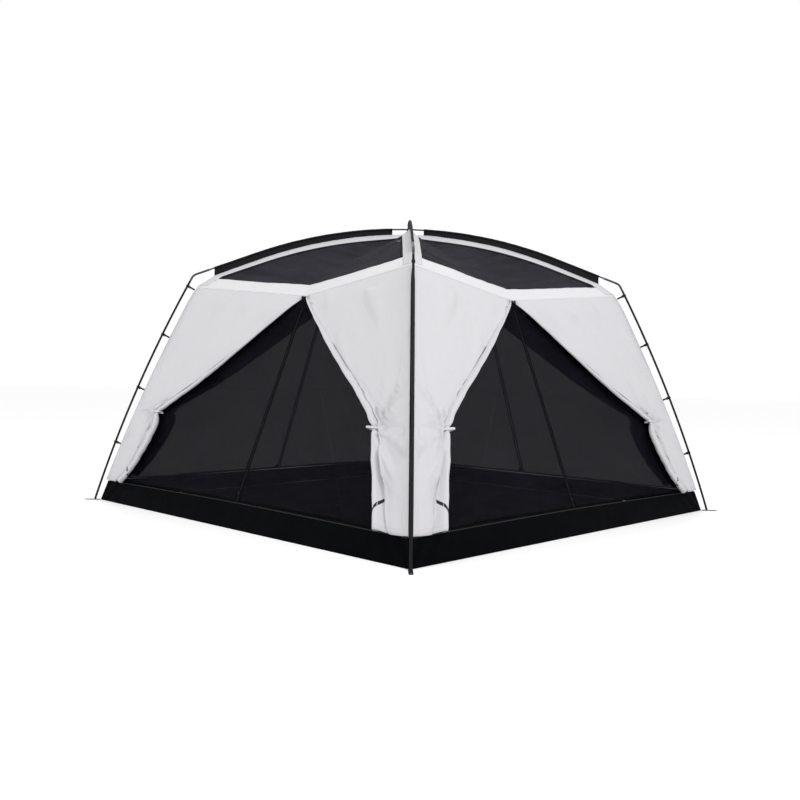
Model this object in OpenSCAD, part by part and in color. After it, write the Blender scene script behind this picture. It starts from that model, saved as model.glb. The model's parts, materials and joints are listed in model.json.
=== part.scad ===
// Square screen house: two crossing poles, mesh roof and walls, tied-back curtains.
// Ground at z = 0, shelter centred on the origin, one wall facing -Y.

/* [Size] */
// Side of the square floor
floor_w = 3340; // [2400:10:4200]
// Distance of each pole foot outside the floor corner, along the diagonal
foot_out = 38; // [20:1:80]
// Rise of the bowed leg from its foot to the elbow
leg_rise = 1702; // [1200:1:2100]
// Lean of the leg at its foot, from vertical
lean_foot = 17.5; // [5:0.1:25]
// Lean of the leg at its top, from vertical
lean_top = 27.9; // [26:0.1:40]
// Height of the bathtub band
band_h = 150; // [60:5:250]

/* [Poles] */
// Outer radius of leg and elbow tubes
leg_r = 8; // [6:0.25:12]
// Wall thickness of leg and elbow tubes
leg_wall = 1.1; // [0.8:0.1:2]
// Height at which the lower and upper leg tubes join
leg_joint_z = 860; // [500:10:1200]
// Straight tube below the bend of the elbow
elbow_low = 30; // [10:1:80]
// Bend radius of the elbow at the tube centre
elbow_r = 60; // [40:1:120]
// Straight socket above the bend of the elbow
elbow_socket = 110; // [60:5:200]
// Slope of the roof pole where it leaves the elbow
roof_slope = 20.2; // [10:0.1:30]
// Straight length from the elbow bend to where the roof pole starts to arch
roof_straight = 507; // [200:1:700]
// Radius of the thin roof pole
pole_r = 5.5; // [4:0.25:8]
// Lift of the upper roof pole over the lower one at the crossing
crossing_lift = 13; // [11:0.5:30]

/* [Canopy] */
// Depth of the eave line at mid wall, in from the floor edge
eave_in = 661; // [400:1:900]
// Height of the eave line at mid wall
eave_mid_z = 1564; // [1200:1:1800]
// Distance of the fabric's top corner from the centre, along the diagonal
top_corner_r = 1623; // [1200:1:1800]
// Height of the fabric's top corner
top_corner_z = 1680; // [1300:1:1900]
// Width of the ridge strip on each side of the ridge
ridge_strip = 65; // [30:1:120]
// Gap from pole to ridge fabric at the apex end of a sleeve
sleeve_h_top = 40; // [25:1:80]
// Gap from pole to ridge fabric at the elbow end of a sleeve
sleeve_h_low = 60; // [30:1:100]
// Distance from the centre where each sleeve starts
sleeve_in = 122; // [60:1:300]
// Distance from the centre where each sleeve ends
sleeve_out = 1500; // [1200:1:1580]
// Thickness of the woven panels
cloth_t = 2; // [1:0.5:6]
// Thickness of the mesh panels
mesh_t = 1.2; // [0.8:0.1:3]

/* [Walls] */
// Outward bow of each fabric corner edge at mid height
corner_bow = 27; // [0:1:60]
// Half width of the mesh door at its foot
door_half = 1050; // [600:10:1200]
// Height of the top of the mesh door along the zip, from the band
door_top = 1478; // [900:1:1500]
// Height of the tie-backs along the wall's middle line
tie_t = 0.36; // [0.25:0.01:0.5]
// Thickness of the gathered curtain edge
bundle_t = 26; // [10:1:60]

/* [Fittings] */
// Width of the corner webbing
strap_w = 25; // [15:1:40]
// Distance of the peg eyelet from the pole foot
peg_out = 72; // [40:1:120]
// Inner radius of the peg eyelets
peg_r = 6; // [3:0.25:12]
// Radius of the foot pins
pin_r = 4; // [3:0.25:6]

/* [Hidden] */
eps = 0.01;
foot_z = 14;
floor_t = 2;
corner_r = floor_w / sqrt(2);
foot_r = corner_r + foot_out;
clip_z = [455, 885, 1300, 1678];

// The leg is an arc in the upright plane through the diagonal: u runs outward, z up.
leg_bow_r = leg_rise / (sin(lean_top) - sin(lean_foot));
leg_cu = foot_r - leg_bow_r * cos(lean_foot);
leg_cz = foot_z - leg_bow_r * sin(lean_foot);
function lean_at(z) = asin((z - leg_cz) / leg_bow_r);
function leg_u(a) = leg_cu + leg_bow_r * cos(a);
function leg_z(a) = leg_cz + leg_bow_r * sin(a);
lean_joint = lean_at(leg_joint_z);

// Elbow: straight, bend, straight socket.
bend_u = leg_u(lean_top) - elbow_low * sin(lean_top) - elbow_r * cos(lean_top);
bend_z = leg_z(lean_top) + elbow_low * cos(lean_top) - elbow_r * sin(lean_top);

// Roof pole: straight from the bend, then one arc to the apex; s is its slope at the elbow.
function exit_u(s) = bend_u + elbow_r * sin(s);
function exit_z(s) = bend_z + elbow_r * cos(s);
function arch_u(s) = exit_u(s) - roof_straight * cos(s);
function arch_z(s) = exit_z(s) + roof_straight * sin(s);
function arch_r(s) = arch_u(s) / sin(s);
function arch_cz(s) = arch_z(s) - arch_r(s) * cos(s);
function apex_z(s) = arch_cz(s) + arch_r(s);
slope_a = roof_slope;
slope_b = roof_slope + crossing_lift / (apex_z(roof_slope + 1) - apex_z(roof_slope));
function pole_z(u, s) =
    u < arch_u(s) ? arch_cz(s) + sqrt(pow(arch_r(s), 2) - u * u) : arch_z(s) - (u - arch_u(s)) * tan(s);

// Ridge fabric hangs below the lower pole.
function sleeve_gap(u) =
    u < sleeve_out ? sleeve_h_top + (sleeve_h_low - sleeve_h_top) * u / sleeve_out
    : sleeve_h_low + (pole_z(top_corner_r, slope_a) - top_corner_z - sleeve_h_low)
    * (u - sleeve_out) / (top_corner_r - sleeve_out);
function ridge_z(u) = pole_z(u, slope_a) - sleeve_gap(u);

// Wall surface: straight rules from the middle zip line to the bowed corner edge.
band_lean = 95;
mid_foot_y = floor_w / 2 - band_lean;
mid_foot_z = band_h + 3;
mid_top_y = floor_w / 2 - eave_in;
top_x = top_corner_r / sqrt(2);
band_top_u = corner_r - 59;
function corner_u(t) = band_top_u + (top_corner_r - band_top_u) * t + 4 * corner_bow * t * (1 - t);
function corner_pt(t) = [
    corner_u(t) / sqrt(2),
    -corner_u(t) / sqrt(2),
    mid_foot_z + (top_corner_z - mid_foot_z) * t
];
function middle_pt(t) = [
    0,
    -mid_foot_y - (mid_top_y - mid_foot_y) * t,
    mid_foot_z + (eave_mid_z - mid_foot_z) * t
];
function wall_pt(s, t) = middle_pt(t) + (corner_pt(t) - middle_pt(t)) * s;
wall_len = norm(middle_pt(1) - middle_pt(0));
clip_rail = leg_r + 15;
wall_lean = atan2(mid_foot_y - mid_top_y, eave_mid_z - mid_foot_z);
wall_out = [0, -cos(wall_lean), sin(wall_lean)];

// Roof surface over one wall: q runs corner to corner, w from eave to apex.
roof_u0 = 8;
band_w = 0.055;
function roof_u(w) = top_corner_r + (roof_u0 - top_corner_r) * w;
function roof_mid_y(w) =
    w < band_w ? mid_top_y - 30 * w / band_w
    : (mid_top_y - 30) * (1 - w) / (1 - band_w) + roof_u0 / sqrt(2) * (w - band_w) / (1 - band_w);
function roof_mid_z(w) =
    w < band_w ? eave_mid_z + 66 * w / band_w
    : eave_mid_z + 66 + (ridge_z(roof_u0) - eave_mid_z - 66) * (w - band_w) / (1 - band_w)
    + 26 * sin(180 * (w - band_w) / (1 - band_w));
function roof_pt(q, w) =
    let (g = roof_u(w) / sqrt(2), f = pow(abs(q), 1 + 0.8 * w))
    [g * q, -(roof_mid_y(w) + (g - roof_mid_y(w)) * f), roof_mid_z(w) + (ridge_z(roof_u(w)) - roof_mid_z(w)) * f];
function strip_q(w) = max(0.02, 1 - 2 * ridge_strip / max(roof_u(w), 1));

// Free edge of a tied-back curtain, as rule positions from the band up.
edge_t = [0, 0.1, 0.2, 0.3, tie_t, 0.4, 0.5, 0.6, 0.7, 0.8, 0.9, 0.975, 0.995];
edge_s = [0.85, 0.80, 0.76, 0.75, 0.78, 0.70, 0.60, 0.50, 0.36, 0.24, 0.12, 0.012, 0.006];
function edge_at(t) = lookup(t, [for (i = [0 : len(edge_t) - 1]) [edge_t[i], edge_s[i]]]);

function flip_if(c, v) = c ? [v[2], v[1], v[0]] : v;

// Closed solid between two matching grids of points.
module grid_solid(outer, inner) {
    n = len(outer);
    m = len(outer[0]);
    half = n * m;
    pts = concat([for (r = outer) for (p = r) p], [for (r = inner) for (p = r) p]);
    c = cross(outer[1][0] - outer[0][0], outer[0][1] - outer[0][0]) * (outer[0][0] - inner[0][0]) < 0;
    skin = [for (i = [0 : n - 2]) for (j = [0 : m - 2]) for (k = [0, 1])
        let (a = i * m + j, b = a + 1, d = a + m, e = d + 1)
        k == 0 ? [a, b, e] : [a, e, d]];
    top = [for (f = skin) flip_if(c, f)];
    low = [for (f = skin) flip_if(!c, [f[0] + half, f[1] + half, f[2] + half])];
    rim = concat(
        [for (j = [0 : m - 2]) [j, j + 1]],
        [for (i = [0 : n - 2]) [i * m + m - 1, (i + 1) * m + m - 1]],
        [for (j = [m - 2 : -1 : 0]) [(n - 1) * m + j + 1, (n - 1) * m + j]],
        [for (i = [n - 2 : -1 : 0]) [(i + 1) * m, i * m]]
    );
    side = [for (r = rim) for (k = [0, 1])
        flip_if(c, k == 0 ? [r[0], r[0] + half, r[1] + half] : [r[0], r[1] + half, r[1]])];
    polyhedron(points = pts, faces = concat(top, low, side));
}

module slab_from(rows, near, far) {
    grid_solid(
        [for (r = rows) [for (p = r) p + far]],
        [for (r = rows) [for (p = r) p + near]]
    );
}

// Places children with x running out along one diagonal; 0 is front right, then anticlockwise.
module at_corner(k) {
    rotate([0, 0, -45 + 90 * k]) children();
}

module at_wall(k) {
    rotate([0, 0, 90 * k]) children();
}

module mirrored_pair() {
    children();
    mirror([1, 0, 0]) children();
}

// Tube along an arc in the upright plane; angles from outward, turning up.
module arc_tube(cu, cz, bow, a0, a1, ro, ri) {
    translate([cu, 0, cz]) rotate([90, 0, 0]) rotate([0, 0, a0])
        rotate_extrude(angle = a1 - a0, $fn = 360) translate([bow, 0]) difference() {
            circle(r = ro, $fn = 32);
            if (ri > 0) circle(r = ri, $fn = 32);
        }
}

// Straight tube from a point in the upright plane, leaning inward by a.
module lean_tube(u, z, a, len, ro, ri) {
    translate([u, 0, z]) rotate([0, -a, 0]) difference() {
        cylinder(r = ro, h = len, $fn = 32);
        if (ri > 0) translate([0, 0, -1]) cylinder(r = ri, h = len + 2, $fn = 32);
    }
}

leg_ri = leg_r - leg_wall;
joiner_r = leg_ri - 0.1;
seam_deg = 0.6 / leg_bow_r * 180 / PI;
butt_deg = 0.3 / elbow_r * 180 / PI;

module leg_lower(k) {
    color("#1b1c1f") at_corner(k)
        arc_tube(leg_cu, leg_cz, leg_bow_r, lean_foot, lean_joint, leg_r, leg_ri);
}

module leg_upper(k) {
    color("#1b1c1f") at_corner(k)
        arc_tube(leg_cu, leg_cz, leg_bow_r, lean_joint + seam_deg, lean_top, leg_r, leg_ri);
}

// Pre-bent elbow: two straight sockets and the bend, crimped together.
module elbow(k, s) {
    a = lean_top;
    low_u = leg_u(a) - 0.6 * sin(a);
    low_z = leg_z(a) + 0.6 * cos(a);
    crimp_u = leg_u(a) - (elbow_low - 4) * sin(a);
    crimp_z = leg_z(a) + (elbow_low - 4) * cos(a);
    color("#2a2b2e") at_corner(k) {
        lean_tube(low_u, low_z, a, elbow_low - 0.9, leg_r, leg_ri);
        arc_tube(bend_u, bend_z, elbow_r, a + butt_deg, 90 - s - butt_deg, leg_r, leg_ri);
        lean_tube(exit_u(s) - 0.3 * cos(s), exit_z(s) + 0.3 * sin(s), 90 - s, elbow_socket, leg_r, leg_ri);
        lean_tube(crimp_u, crimp_z, a, 8, leg_r + 0.5, leg_ri + 0.35);
        lean_tube(exit_u(s) + 4 * cos(s), exit_z(s) - 4 * sin(s), 90 - s, 8, leg_r + 0.5, leg_ri + 0.35);
    }
}

// Roof pole in three sections: two straight ends in the elbow sockets and the arch between them.
module roof_pole(k, s) {
    start = 12;
    butt = 0.2;
    arch_deg = s - butt / arch_r(s) * 180 / PI;
    color("#232427") at_corner(k) {
        arc_tube(0, arch_cz(s), arch_r(s), 90 - arch_deg, 90 + arch_deg, pole_r, 0);
        for (turn = [0, 180]) rotate([0, 0, turn])
            lean_tube(exit_u(s) - start * cos(s), exit_z(s) + start * sin(s), 90 - s,
                roof_straight - start - butt, pole_r, 0);
    }
}

// Metal joiners: plugs inside the leg tubes, sleeves in the elbow sockets and over the roof pole joints.
module pole_joiners() {
    fo = pole_r + 0.75;
    fi = pole_r + 0.08;
    half_deg = 35 / leg_bow_r * 180 / PI;
    color("#8d9095") for (k = [0 : 3]) at_corner(k) {
        s = k % 2 == 0 ? slope_b : slope_a;
        arc_tube(leg_cu, leg_cz, leg_bow_r, lean_joint - half_deg, lean_joint + half_deg, joiner_r, 5.6);
        lean_tube(leg_u(lean_top) + 24 * sin(lean_top), leg_z(lean_top) - 24 * cos(lean_top), lean_top,
            20 + elbow_low, joiner_r - 0.05, 5.6);
        lean_tube(exit_u(s) - 14 * cos(s), exit_z(s) + 14 * sin(s), 90 - s, elbow_socket - 10,
            joiner_r, fi);
        lean_tube(arch_u(s) + 25 * cos(s), arch_z(s) - 25 * sin(s), 90 - s, 25, fo, fi);
    }
}

module foot_tips() {
    color("#3a3b3e") for (k = [0 : 3]) at_corner(k) {
        tip_u = leg_u(lean_foot);
        translate([tip_u, 0, foot_z]) rotate([0, -lean_foot, 0]) {
            translate([0, 0, -4.2]) cylinder(r = leg_r + 0.6, h = 4, $fn = 32);
            translate([0, 0, -0.3]) cylinder(r = joiner_r, h = 24, $fn = 32);
        }
        translate([tip_u, 0, 5.2]) cylinder(r = leg_r - 0.6, h = 5, $fn = 32);
        translate([tip_u, 0, 0]) cylinder(r = pin_r, h = 6, $fn = 32);
    }
}

module corner_straps() {
    color("#1d1e20") for (k = [0 : 3]) at_corner(k) difference() {
        union() {
            translate([corner_r + 3, -strap_w / 2, 1.2])
                cube([foot_out - 3 + peg_out, strap_w, 1.8]);
            translate([foot_r + peg_out, 0, 1.2]) cylinder(r = strap_w / 2, h = 1.8, $fn = 48);
        }
        translate([foot_r, 0, 0]) cylinder(r = pin_r + 0.4, h = 6, $fn = 32);
        translate([foot_r + peg_out, 0, 0]) cylinder(r = peg_r + 1.2, h = 6, $fn = 32);
    }
}

// Pressed metal rings through the corner webbing.
module eyelet(r) {
    difference() {
        union() {
            translate([0, 0, 0.2]) cylinder(r = r + 1.15, h = 3.8, $fn = 40);
            translate([0, 0, 0.2]) cylinder(r = r + 4.2, h = 0.9, $fn = 40);
            translate([0, 0, 3.1]) cylinder(r = r + 4.2, h = 0.9, $fn = 40);
        }
        translate([0, 0, -1]) cylinder(r = r, h = 8, $fn = 40);
    }
}

module peg_eyelets() {
    color("#9a9da1") for (k = [0 : 3]) at_corner(k) translate([foot_r + peg_out, 0, 0]) eyelet(peg_r);
}

function tab_len(z) =
    let (a = lean_at(z), t = (z - mid_foot_z) / (top_corner_z - mid_foot_z))
    (leg_u(a) - corner_u(t)) * cos(a) - 10;

module at_clip(k, z) {
    a = lean_at(z);
    at_corner(k) translate([leg_u(a), 0, leg_z(a)]) rotate([0, -a, 0]) children();
}

// Hook that snaps over the leg, with a window in its stem for the webbing.
module clip() {
    difference() {
        union() {
            translate([0, 0, -7]) cylinder(r = leg_r + 3.2, h = 14, $fn = 40);
            translate([-clip_rail, -3, -10.5]) cube([clip_rail - leg_r - 1, 6, 21]);
        }
        translate([0, 0, -12]) cylinder(r = leg_r + 0.35, h = 24, $fn = 40);
        translate([2, -6, -12]) cube([20, 12, 24]);
        translate([3.5 - clip_rail, -4, -7]) cube([4, 8, 14]);
    }
}

module leg_clips() {
    color("#151618") for (k = [0 : 3]) for (z = clip_z) at_clip(k, z) clip();
}

// Webbing that loops round the rail of each clip and runs to the corner seam.
module clip_tabs() {
    color("#1b1c1e") for (k = [0 : 3]) for (z = clip_z) at_clip(k, z)
        translate([0, 0, -6.5]) linear_extrude(13) difference() {
            union() {
                translate([-clip_rail - 1.7, -4.7]) square([6.9, 9.4]);
                translate([-max(tab_len(z), 30), -0.7]) square([max(tab_len(z), 30) - clip_rail - 1, 1.4]);
            }
            translate([-clip_rail - 0.3, -3.3]) square([4.1, 6.6]);
        }
}

// Hem tube round the roof pole with a flat fin down to the ridge.
module sleeve(k, s) {
    ro = pole_r + 2.4;
    ri = pole_r + 0.9;
    in_deg = asin(sleeve_in / arch_r(s));
    run = (sleeve_out - arch_u(s)) / cos(s);
    n = 18;
    us = [for (i = [0 : n]) sleeve_in + (sleeve_out - sleeve_in) * i / n];
    top = [for (u = us) [u, pole_z(u, s) - pole_r - 1.5]];
    low = [for (i = [n : -1 : 0]) [us[i], ridge_z(us[i]) + 5]];
    color("#141518") at_corner(k) {
        arc_tube(0, arch_cz(s), arch_r(s), 90 - s, 90 - in_deg, ro, ri);
        lean_tube(arch_u(s) + run * cos(s), arch_z(s) - run * sin(s), 90 - s, run, ro, ri);
        translate([0, 1.2, 0]) rotate([90, 0, 0]) linear_extrude(2.4) polygon(concat(top, low));
    }
}

roof_steps = [0, 0.055, 0.12, 0.2, 0.3, 0.4, 0.5, 0.6, 0.7, 0.78, 0.85, 0.91, 0.96, 0.99];

// White strip over one ridge, bent down on both sides of it.
module ridge_trim() {
    color("#dcdbde") for (k = [0 : 3]) at_wall(k) {
        rows = [for (w = roof_steps) concat(
            [for (f = [0, 0.5, 1]) let (q = strip_q(w) + (1 - strip_q(w)) * f) roof_pt(q, w)],
            [for (f = [0.5, 0]) let (q = strip_q(w) + (1 - strip_q(w)) * f, p = roof_pt(q, w))
                [-p[1], -p[0], p[2]]]
        )];
        slab_from(rows, [0, 0, 0], [0, 0, cloth_t]);
    }
}

// White band between the eave line and the roof mesh.
module eave_band(k) {
    n = 16;
    gap = 3;
    color("#e6e5e8") at_wall(k) {
        rows = [for (w = [0.002, 0.018, 0.036, 0.052]) let (qm = strip_q(w) - gap / (roof_u(w) / sqrt(2)))
            [for (i = [-n : n]) roof_pt(qm * i / n, w)]];
        slab_from(rows, [0, 0, 0], cloth_t * [0, -0.75, 0.66]);
    }
}

module roof_mesh(k) {
    n = 6;
    gap = 3;
    color("#46464c") at_wall(k) {
        rows = [for (w = [0.058, 0.12, 0.2, 0.3, 0.4, 0.5, 0.6, 0.7, 0.78, 0.85, 0.9])
            let (qm = strip_q(w) - gap / (roof_u(w) / sqrt(2)))
            [for (i = [-n : n]) roof_pt(qm * i / n, w)]];
        slab_from(rows, [0, 0, 0], [0, 0, mesh_t]);
    }
}

// Two outer curtains on one wall, each drawn to its corner and gathered along its free edge.
module curtains(k) {
    near = 5;
    end_s = 0.9965;
    ts = [0.004, 0.06, 0.12, 0.2, 0.28, 0.33, tie_t, 0.39, 0.45, 0.52, 0.6, 0.7, 0.8, 0.9, 0.97, 0.994];
    fs = [0, 0.05, 0.12, 0.22, 0.4, 0.7, 1];
    function gather(t, f) = exp(-pow(f / 0.14, 2)) * bundle_t * (t < 0.42 ? 1 : max(0.08, 1 - (t - 0.42) / 0.4));
    base = [for (t = ts) [for (f = fs) wall_pt(edge_at(t) + (end_s - edge_at(t)) * f, t) + near * wall_out]];
    outer = [for (i = [0 : len(ts) - 1]) [for (j = [0 : len(fs) - 1])
        base[i][j] + (cloth_t + gather(ts[i], fs[j])) * wall_out]];
    color("#dad9dc") at_wall(k) mirrored_pair() grid_solid(outer, base);
}

// Point in the flat plane of the door: x along the wall, h up the zip line.
module door_plane() {
    translate([0, -mid_foot_y, mid_foot_z]) rotate([90 - wall_lean, 0, 0]) children();
}

function door_pt(x, h) = [x, -mid_foot_y + h * sin(wall_lean), mid_foot_z + h * cos(wall_lean)];

door_foot = 3;
fold_gap = 3;
zip_gap = 3;

// Fixed mesh beside the door, from the fold line to the corner edge.
module wall_mesh(k) {
    top_t = 0.994;
    n = 14;
    function fold_x(h) = door_half * max(0, 1 - (h - door_foot) / (door_top - door_foot));
    rows = [for (i = [0 : n]) let (t = 0.002 + (top_t - 0.002) * i / n, h = t * wall_len)
        [for (f = [0, 0.33, 0.66, 1])
            let (a = door_pt(max(fold_x(h), 0) + (h < door_top ? fold_gap : 1), h), b = wall_pt(0.9965, t))
            a + (b - a) * f]];
    color("#2c2c31") at_wall(k) mirrored_pair() slab_from(rows, [0, 0, 0], mesh_t * wall_out);
}

// Triangular mesh flap with a hem all round and a corded zip edge at the middle.
module door_flap(k, side) {
    hem = 14;
    outline = [[zip_gap / 2 + 1.2, door_foot], [door_half, door_foot], [zip_gap / 2 + 1.2, door_top - 6]];
    slope = atan2(door_top - door_foot, door_half);
    inset_x = zip_gap / 2 + 1.2 + hem;
    inset_y = door_foot + hem;
    pane_w = door_half - inset_x - (hem + hem * cos(slope)) / sin(slope);
    color("#33333a") at_wall(k) mirror([side < 0 ? 1 : 0, 0, 0]) door_plane() {
        linear_extrude(mesh_t) polygon(outline);
        translate([0, 0, -0.6]) linear_extrude(mesh_t + 1.2) difference() {
            polygon(outline);
            polygon([[inset_x, inset_y], [inset_x + pane_w, inset_y],
                [inset_x, inset_y + pane_w * tan(slope)]]);
        }
        translate([zip_gap / 2 + 1.2, door_foot, mesh_t / 2]) rotate([-90, 0, 0])
            cylinder(r = 1.6, h = door_top - door_foot - 46, $fn = 24);
    }
}

// Zip slider hooked over the corded edge of the left flap, with its pull tab inside.
module zip_slider(k) {
    edge = -(zip_gap / 2 + 1.2);
    h0 = 60;
    color("#101114") at_wall(k) door_plane() translate([edge, h0, mesh_t / 2]) {
        rotate([-90, 0, 0]) linear_extrude(16) difference() {
            translate([-9, -4.6]) square([11.6, 9.2]);
            circle(r = 2.1, $fn = 32);
            translate([-12, -1.9]) square([12, 3.8]);
        }
        translate([-7, 4, -6.4]) cube([7, 8, 2]);
        translate([-6.2, -26, -8.2]) cube([5.4, 36, 2]);
    }
}

// Parked slider and knotted pull of the outer curtain zip, just under the eave.
module curtain_sliders() {
    color("#0e0f11") for (k = [0 : 3]) at_wall(k) door_plane() {
        translate([-8, wall_len - 40, 24]) cube([16, 14, 5]);
        translate([-4, wall_len - 58, 26]) cube([8, 22, 2.4]);
    }
}

// Webbing hook that holds each gathered curtain edge; open towards the corner.
module tie_backs() {
    color("#d2d1d4") for (k = [0 : 3]) at_wall(k) mirrored_pair() {
        s0 = edge_at(tie_t);
        p = wall_pt(s0, tie_t);
        d = wall_pt(0.95, tie_t) - p;
        yaw = atan2(d[1], d[0]);
        translate(p) rotate([0, 0, yaw]) rotate([90 - wall_lean, 0, 0]) translate([0, -7, 0])
            rotate([-90, 0, 0]) mirror([0, 1, 0]) linear_extrude(14) difference() {
                translate([-19.8, 2.2]) square([100, bundle_t + cloth_t + 11]);
                translate([-18.4, 3.6]) square([200, bundle_t + cloth_t + 8.2]);
            }
    }
}

module floor_sheet() {
    color("#1c1f23") translate([-floor_w / 2, -floor_w / 2, 0]) cube([floor_w, floor_w, floor_t]);
}

// Upright edge of the bathtub floor along one wall.
module bathtub_band(k) {
    n = 12;
    lift = floor_t + 1;
    color("#23272c") at_wall(k) {
        rows = [for (i = [-n : n]) let (q = i / n) [for (f = [0, 0.5, 1])
            let (
                low = floor_w / 2 - 4,
                bow = (band_top_u / sqrt(2) - mid_foot_y) * pow(abs(q), 1.5) + mid_foot_y,
                y = low + (bow - low) * f,
                x = (low + (band_top_u / sqrt(2) - low) * f - 4) * q
            )
            [x, -y, lift + (band_h - lift) * f]]];
        slab_from(rows, [0, 1, 0], [0, -1, 0]);
    }
}

leg_lower(0);  // leg_lower_fr
leg_lower(1);  // leg_lower_br
leg_lower(2);  // leg_lower_bl
leg_lower(3);  // leg_lower_fl
leg_upper(0);  // leg_upper_fr
leg_upper(1);  // leg_upper_br
leg_upper(2);  // leg_upper_bl
leg_upper(3);  // leg_upper_fl
elbow(0, slope_b);  // elbow_fr
elbow(1, slope_a);  // elbow_br
elbow(2, slope_b);  // elbow_bl
elbow(3, slope_a);  // elbow_fl
roof_pole(1, slope_a);  // roof_pole_lower
roof_pole(0, slope_b);  // roof_pole_upper
pole_joiners();
foot_tips();
corner_straps();
peg_eyelets();
leg_clips();
clip_tabs();
sleeve(0, slope_b);  // sleeve_fr
sleeve(1, slope_a);  // sleeve_br
sleeve(2, slope_b);  // sleeve_bl
sleeve(3, slope_a);  // sleeve_fl
ridge_trim();
eave_band(0);  // eave_band_front
eave_band(1);  // eave_band_right
eave_band(2);  // eave_band_back
eave_band(3);  // eave_band_left
roof_mesh(0);  // roof_mesh_front
roof_mesh(1);  // roof_mesh_right
roof_mesh(2);  // roof_mesh_back
roof_mesh(3);  // roof_mesh_left
curtains(0);  // curtains_front
curtains(1);  // curtains_right
curtains(2);  // curtains_back
curtains(3);  // curtains_left
wall_mesh(0);  // wall_mesh_front
wall_mesh(1);  // wall_mesh_right
wall_mesh(2);  // wall_mesh_back
wall_mesh(3);  // wall_mesh_left
door_flap(0, -1);  // flap_front_l
door_flap(0, 1);  // flap_front_r
door_flap(1, -1);  // flap_right_l
door_flap(1, 1);  // flap_right_r
door_flap(2, -1);  // flap_back_l
door_flap(2, 1);  // flap_back_r
door_flap(3, -1);  // flap_left_l
door_flap(3, 1);  // flap_left_r
zip_slider(0);  // slider_front
zip_slider(1);  // slider_right
zip_slider(2);  // slider_back
zip_slider(3);  // slider_left
curtain_sliders();
tie_backs();
floor_sheet();
bathtub_band(0);  // band_front
bathtub_band(1);  // band_right
bathtub_band(2);  // band_back
bathtub_band(3);  // band_left
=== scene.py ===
import json
import math

import bpy
import numpy as np
from mathutils import Matrix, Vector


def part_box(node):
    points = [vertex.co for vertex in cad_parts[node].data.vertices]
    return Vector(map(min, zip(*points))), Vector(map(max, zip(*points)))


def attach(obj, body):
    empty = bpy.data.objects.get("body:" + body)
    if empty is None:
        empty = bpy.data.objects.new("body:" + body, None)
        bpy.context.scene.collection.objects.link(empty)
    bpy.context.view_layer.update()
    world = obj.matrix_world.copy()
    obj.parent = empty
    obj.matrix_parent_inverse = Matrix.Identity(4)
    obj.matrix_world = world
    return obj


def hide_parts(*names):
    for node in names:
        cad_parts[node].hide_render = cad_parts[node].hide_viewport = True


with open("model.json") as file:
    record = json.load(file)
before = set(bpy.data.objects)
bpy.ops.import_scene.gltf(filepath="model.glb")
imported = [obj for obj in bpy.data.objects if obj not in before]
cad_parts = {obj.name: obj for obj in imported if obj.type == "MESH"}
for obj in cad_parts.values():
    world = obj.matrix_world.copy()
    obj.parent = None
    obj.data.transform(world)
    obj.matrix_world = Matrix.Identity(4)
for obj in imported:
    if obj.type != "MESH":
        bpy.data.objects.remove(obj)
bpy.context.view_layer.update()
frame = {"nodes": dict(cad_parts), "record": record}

NODES = frame["nodes"]

# ---------------------------------------------------------------- shape of the shelter
# The same construction as the CAD source, in metres; SIDE and the heights are read from the CAD boxes.
SIDE = 2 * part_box("floor_sheet")[1].x
BAND_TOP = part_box("band_front")[1].z
MID_FOOT_Y = -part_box("band_front")[1].y + 0.001
MID_FOOT_Z = BAND_TOP + 0.003
EAVE_MID = (SIDE / 2 - 0.661, 1.564)
TOP_R, TOP_Z = 1.623, 1.680
BAND_TOP_U = SIDE / math.sqrt(2) - 0.059
CORNER_BOW = 0.027
DOOR_HALF, DOOR_TOP, DOOR_FOOT = 1.05, 1.478, 0.003
WALL_LEN = math.hypot(MID_FOOT_Y - EAVE_MID[0], EAVE_MID[1] - MID_FOOT_Z)
LEAN = math.atan2(MID_FOOT_Y - EAVE_MID[0], EAVE_MID[1] - MID_FOOT_Z)
OUT = np.array([0.0, -math.cos(LEAN), math.sin(LEAN)])
SLEEVE_IN, SLEEVE_OUT = 0.122, 1.500
RIDGE_STRIP = 0.065
EAVE_LIFT = np.array([0, -0.75, 0.66])  # direction in which the front eave band faces
SEAM_S = 0.9985                         # where cloth meets the corner seam, as a share of the half wall
WALLS = ["front", "right", "back", "left"]
CORNERS = ["fr", "br", "bl", "fl"]


def pole_profile():
    """Centre line of the roof poles, as in the CAD: end of the straight part, radius and centre height."""
    deg = math.pi / 180
    foot_r, foot_z, rise, a0, a1 = SIDE / math.sqrt(2) + 0.038, 0.014, 1.702, 17.5 * deg, 27.9 * deg
    bow = rise / (math.sin(a1) - math.sin(a0))
    lu = foot_r - bow * math.cos(a0) + bow * math.cos(a1)
    lz = foot_z - bow * math.sin(a0) + bow * math.sin(a1)
    bu = lu - 0.030 * math.sin(a1) - 0.060 * math.cos(a1)
    bz = lz + 0.030 * math.cos(a1) - 0.060 * math.sin(a1)

    def arch(s):
        au = bu + 0.060 * math.sin(s) - 0.507 * math.cos(s)
        az = bz + 0.060 * math.cos(s) + 0.507 * math.sin(s)
        r = au / math.sin(s)
        return au, az, r, az - r * math.cos(s)

    s_low = 20.2 * deg
    top = lambda s: arch(s)[3] + arch(s)[2]
    s_high = s_low + 0.013 / (top(s_low + deg) - top(s_low)) * deg
    return {0: (s_low, *arch(s_low)), 1: (s_high, *arch(s_high))}


POLE = pole_profile()


def pole_z(u, which=0):
    """Height of a roof pole's centre at distance u from the middle."""
    s, au, az, r, cz = POLE[which]
    u = np.asarray(u, float)
    return np.where(u < au, cz + np.sqrt(np.maximum(r * r - u * u, 0)), az - (u - au) * math.tan(s))


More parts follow.
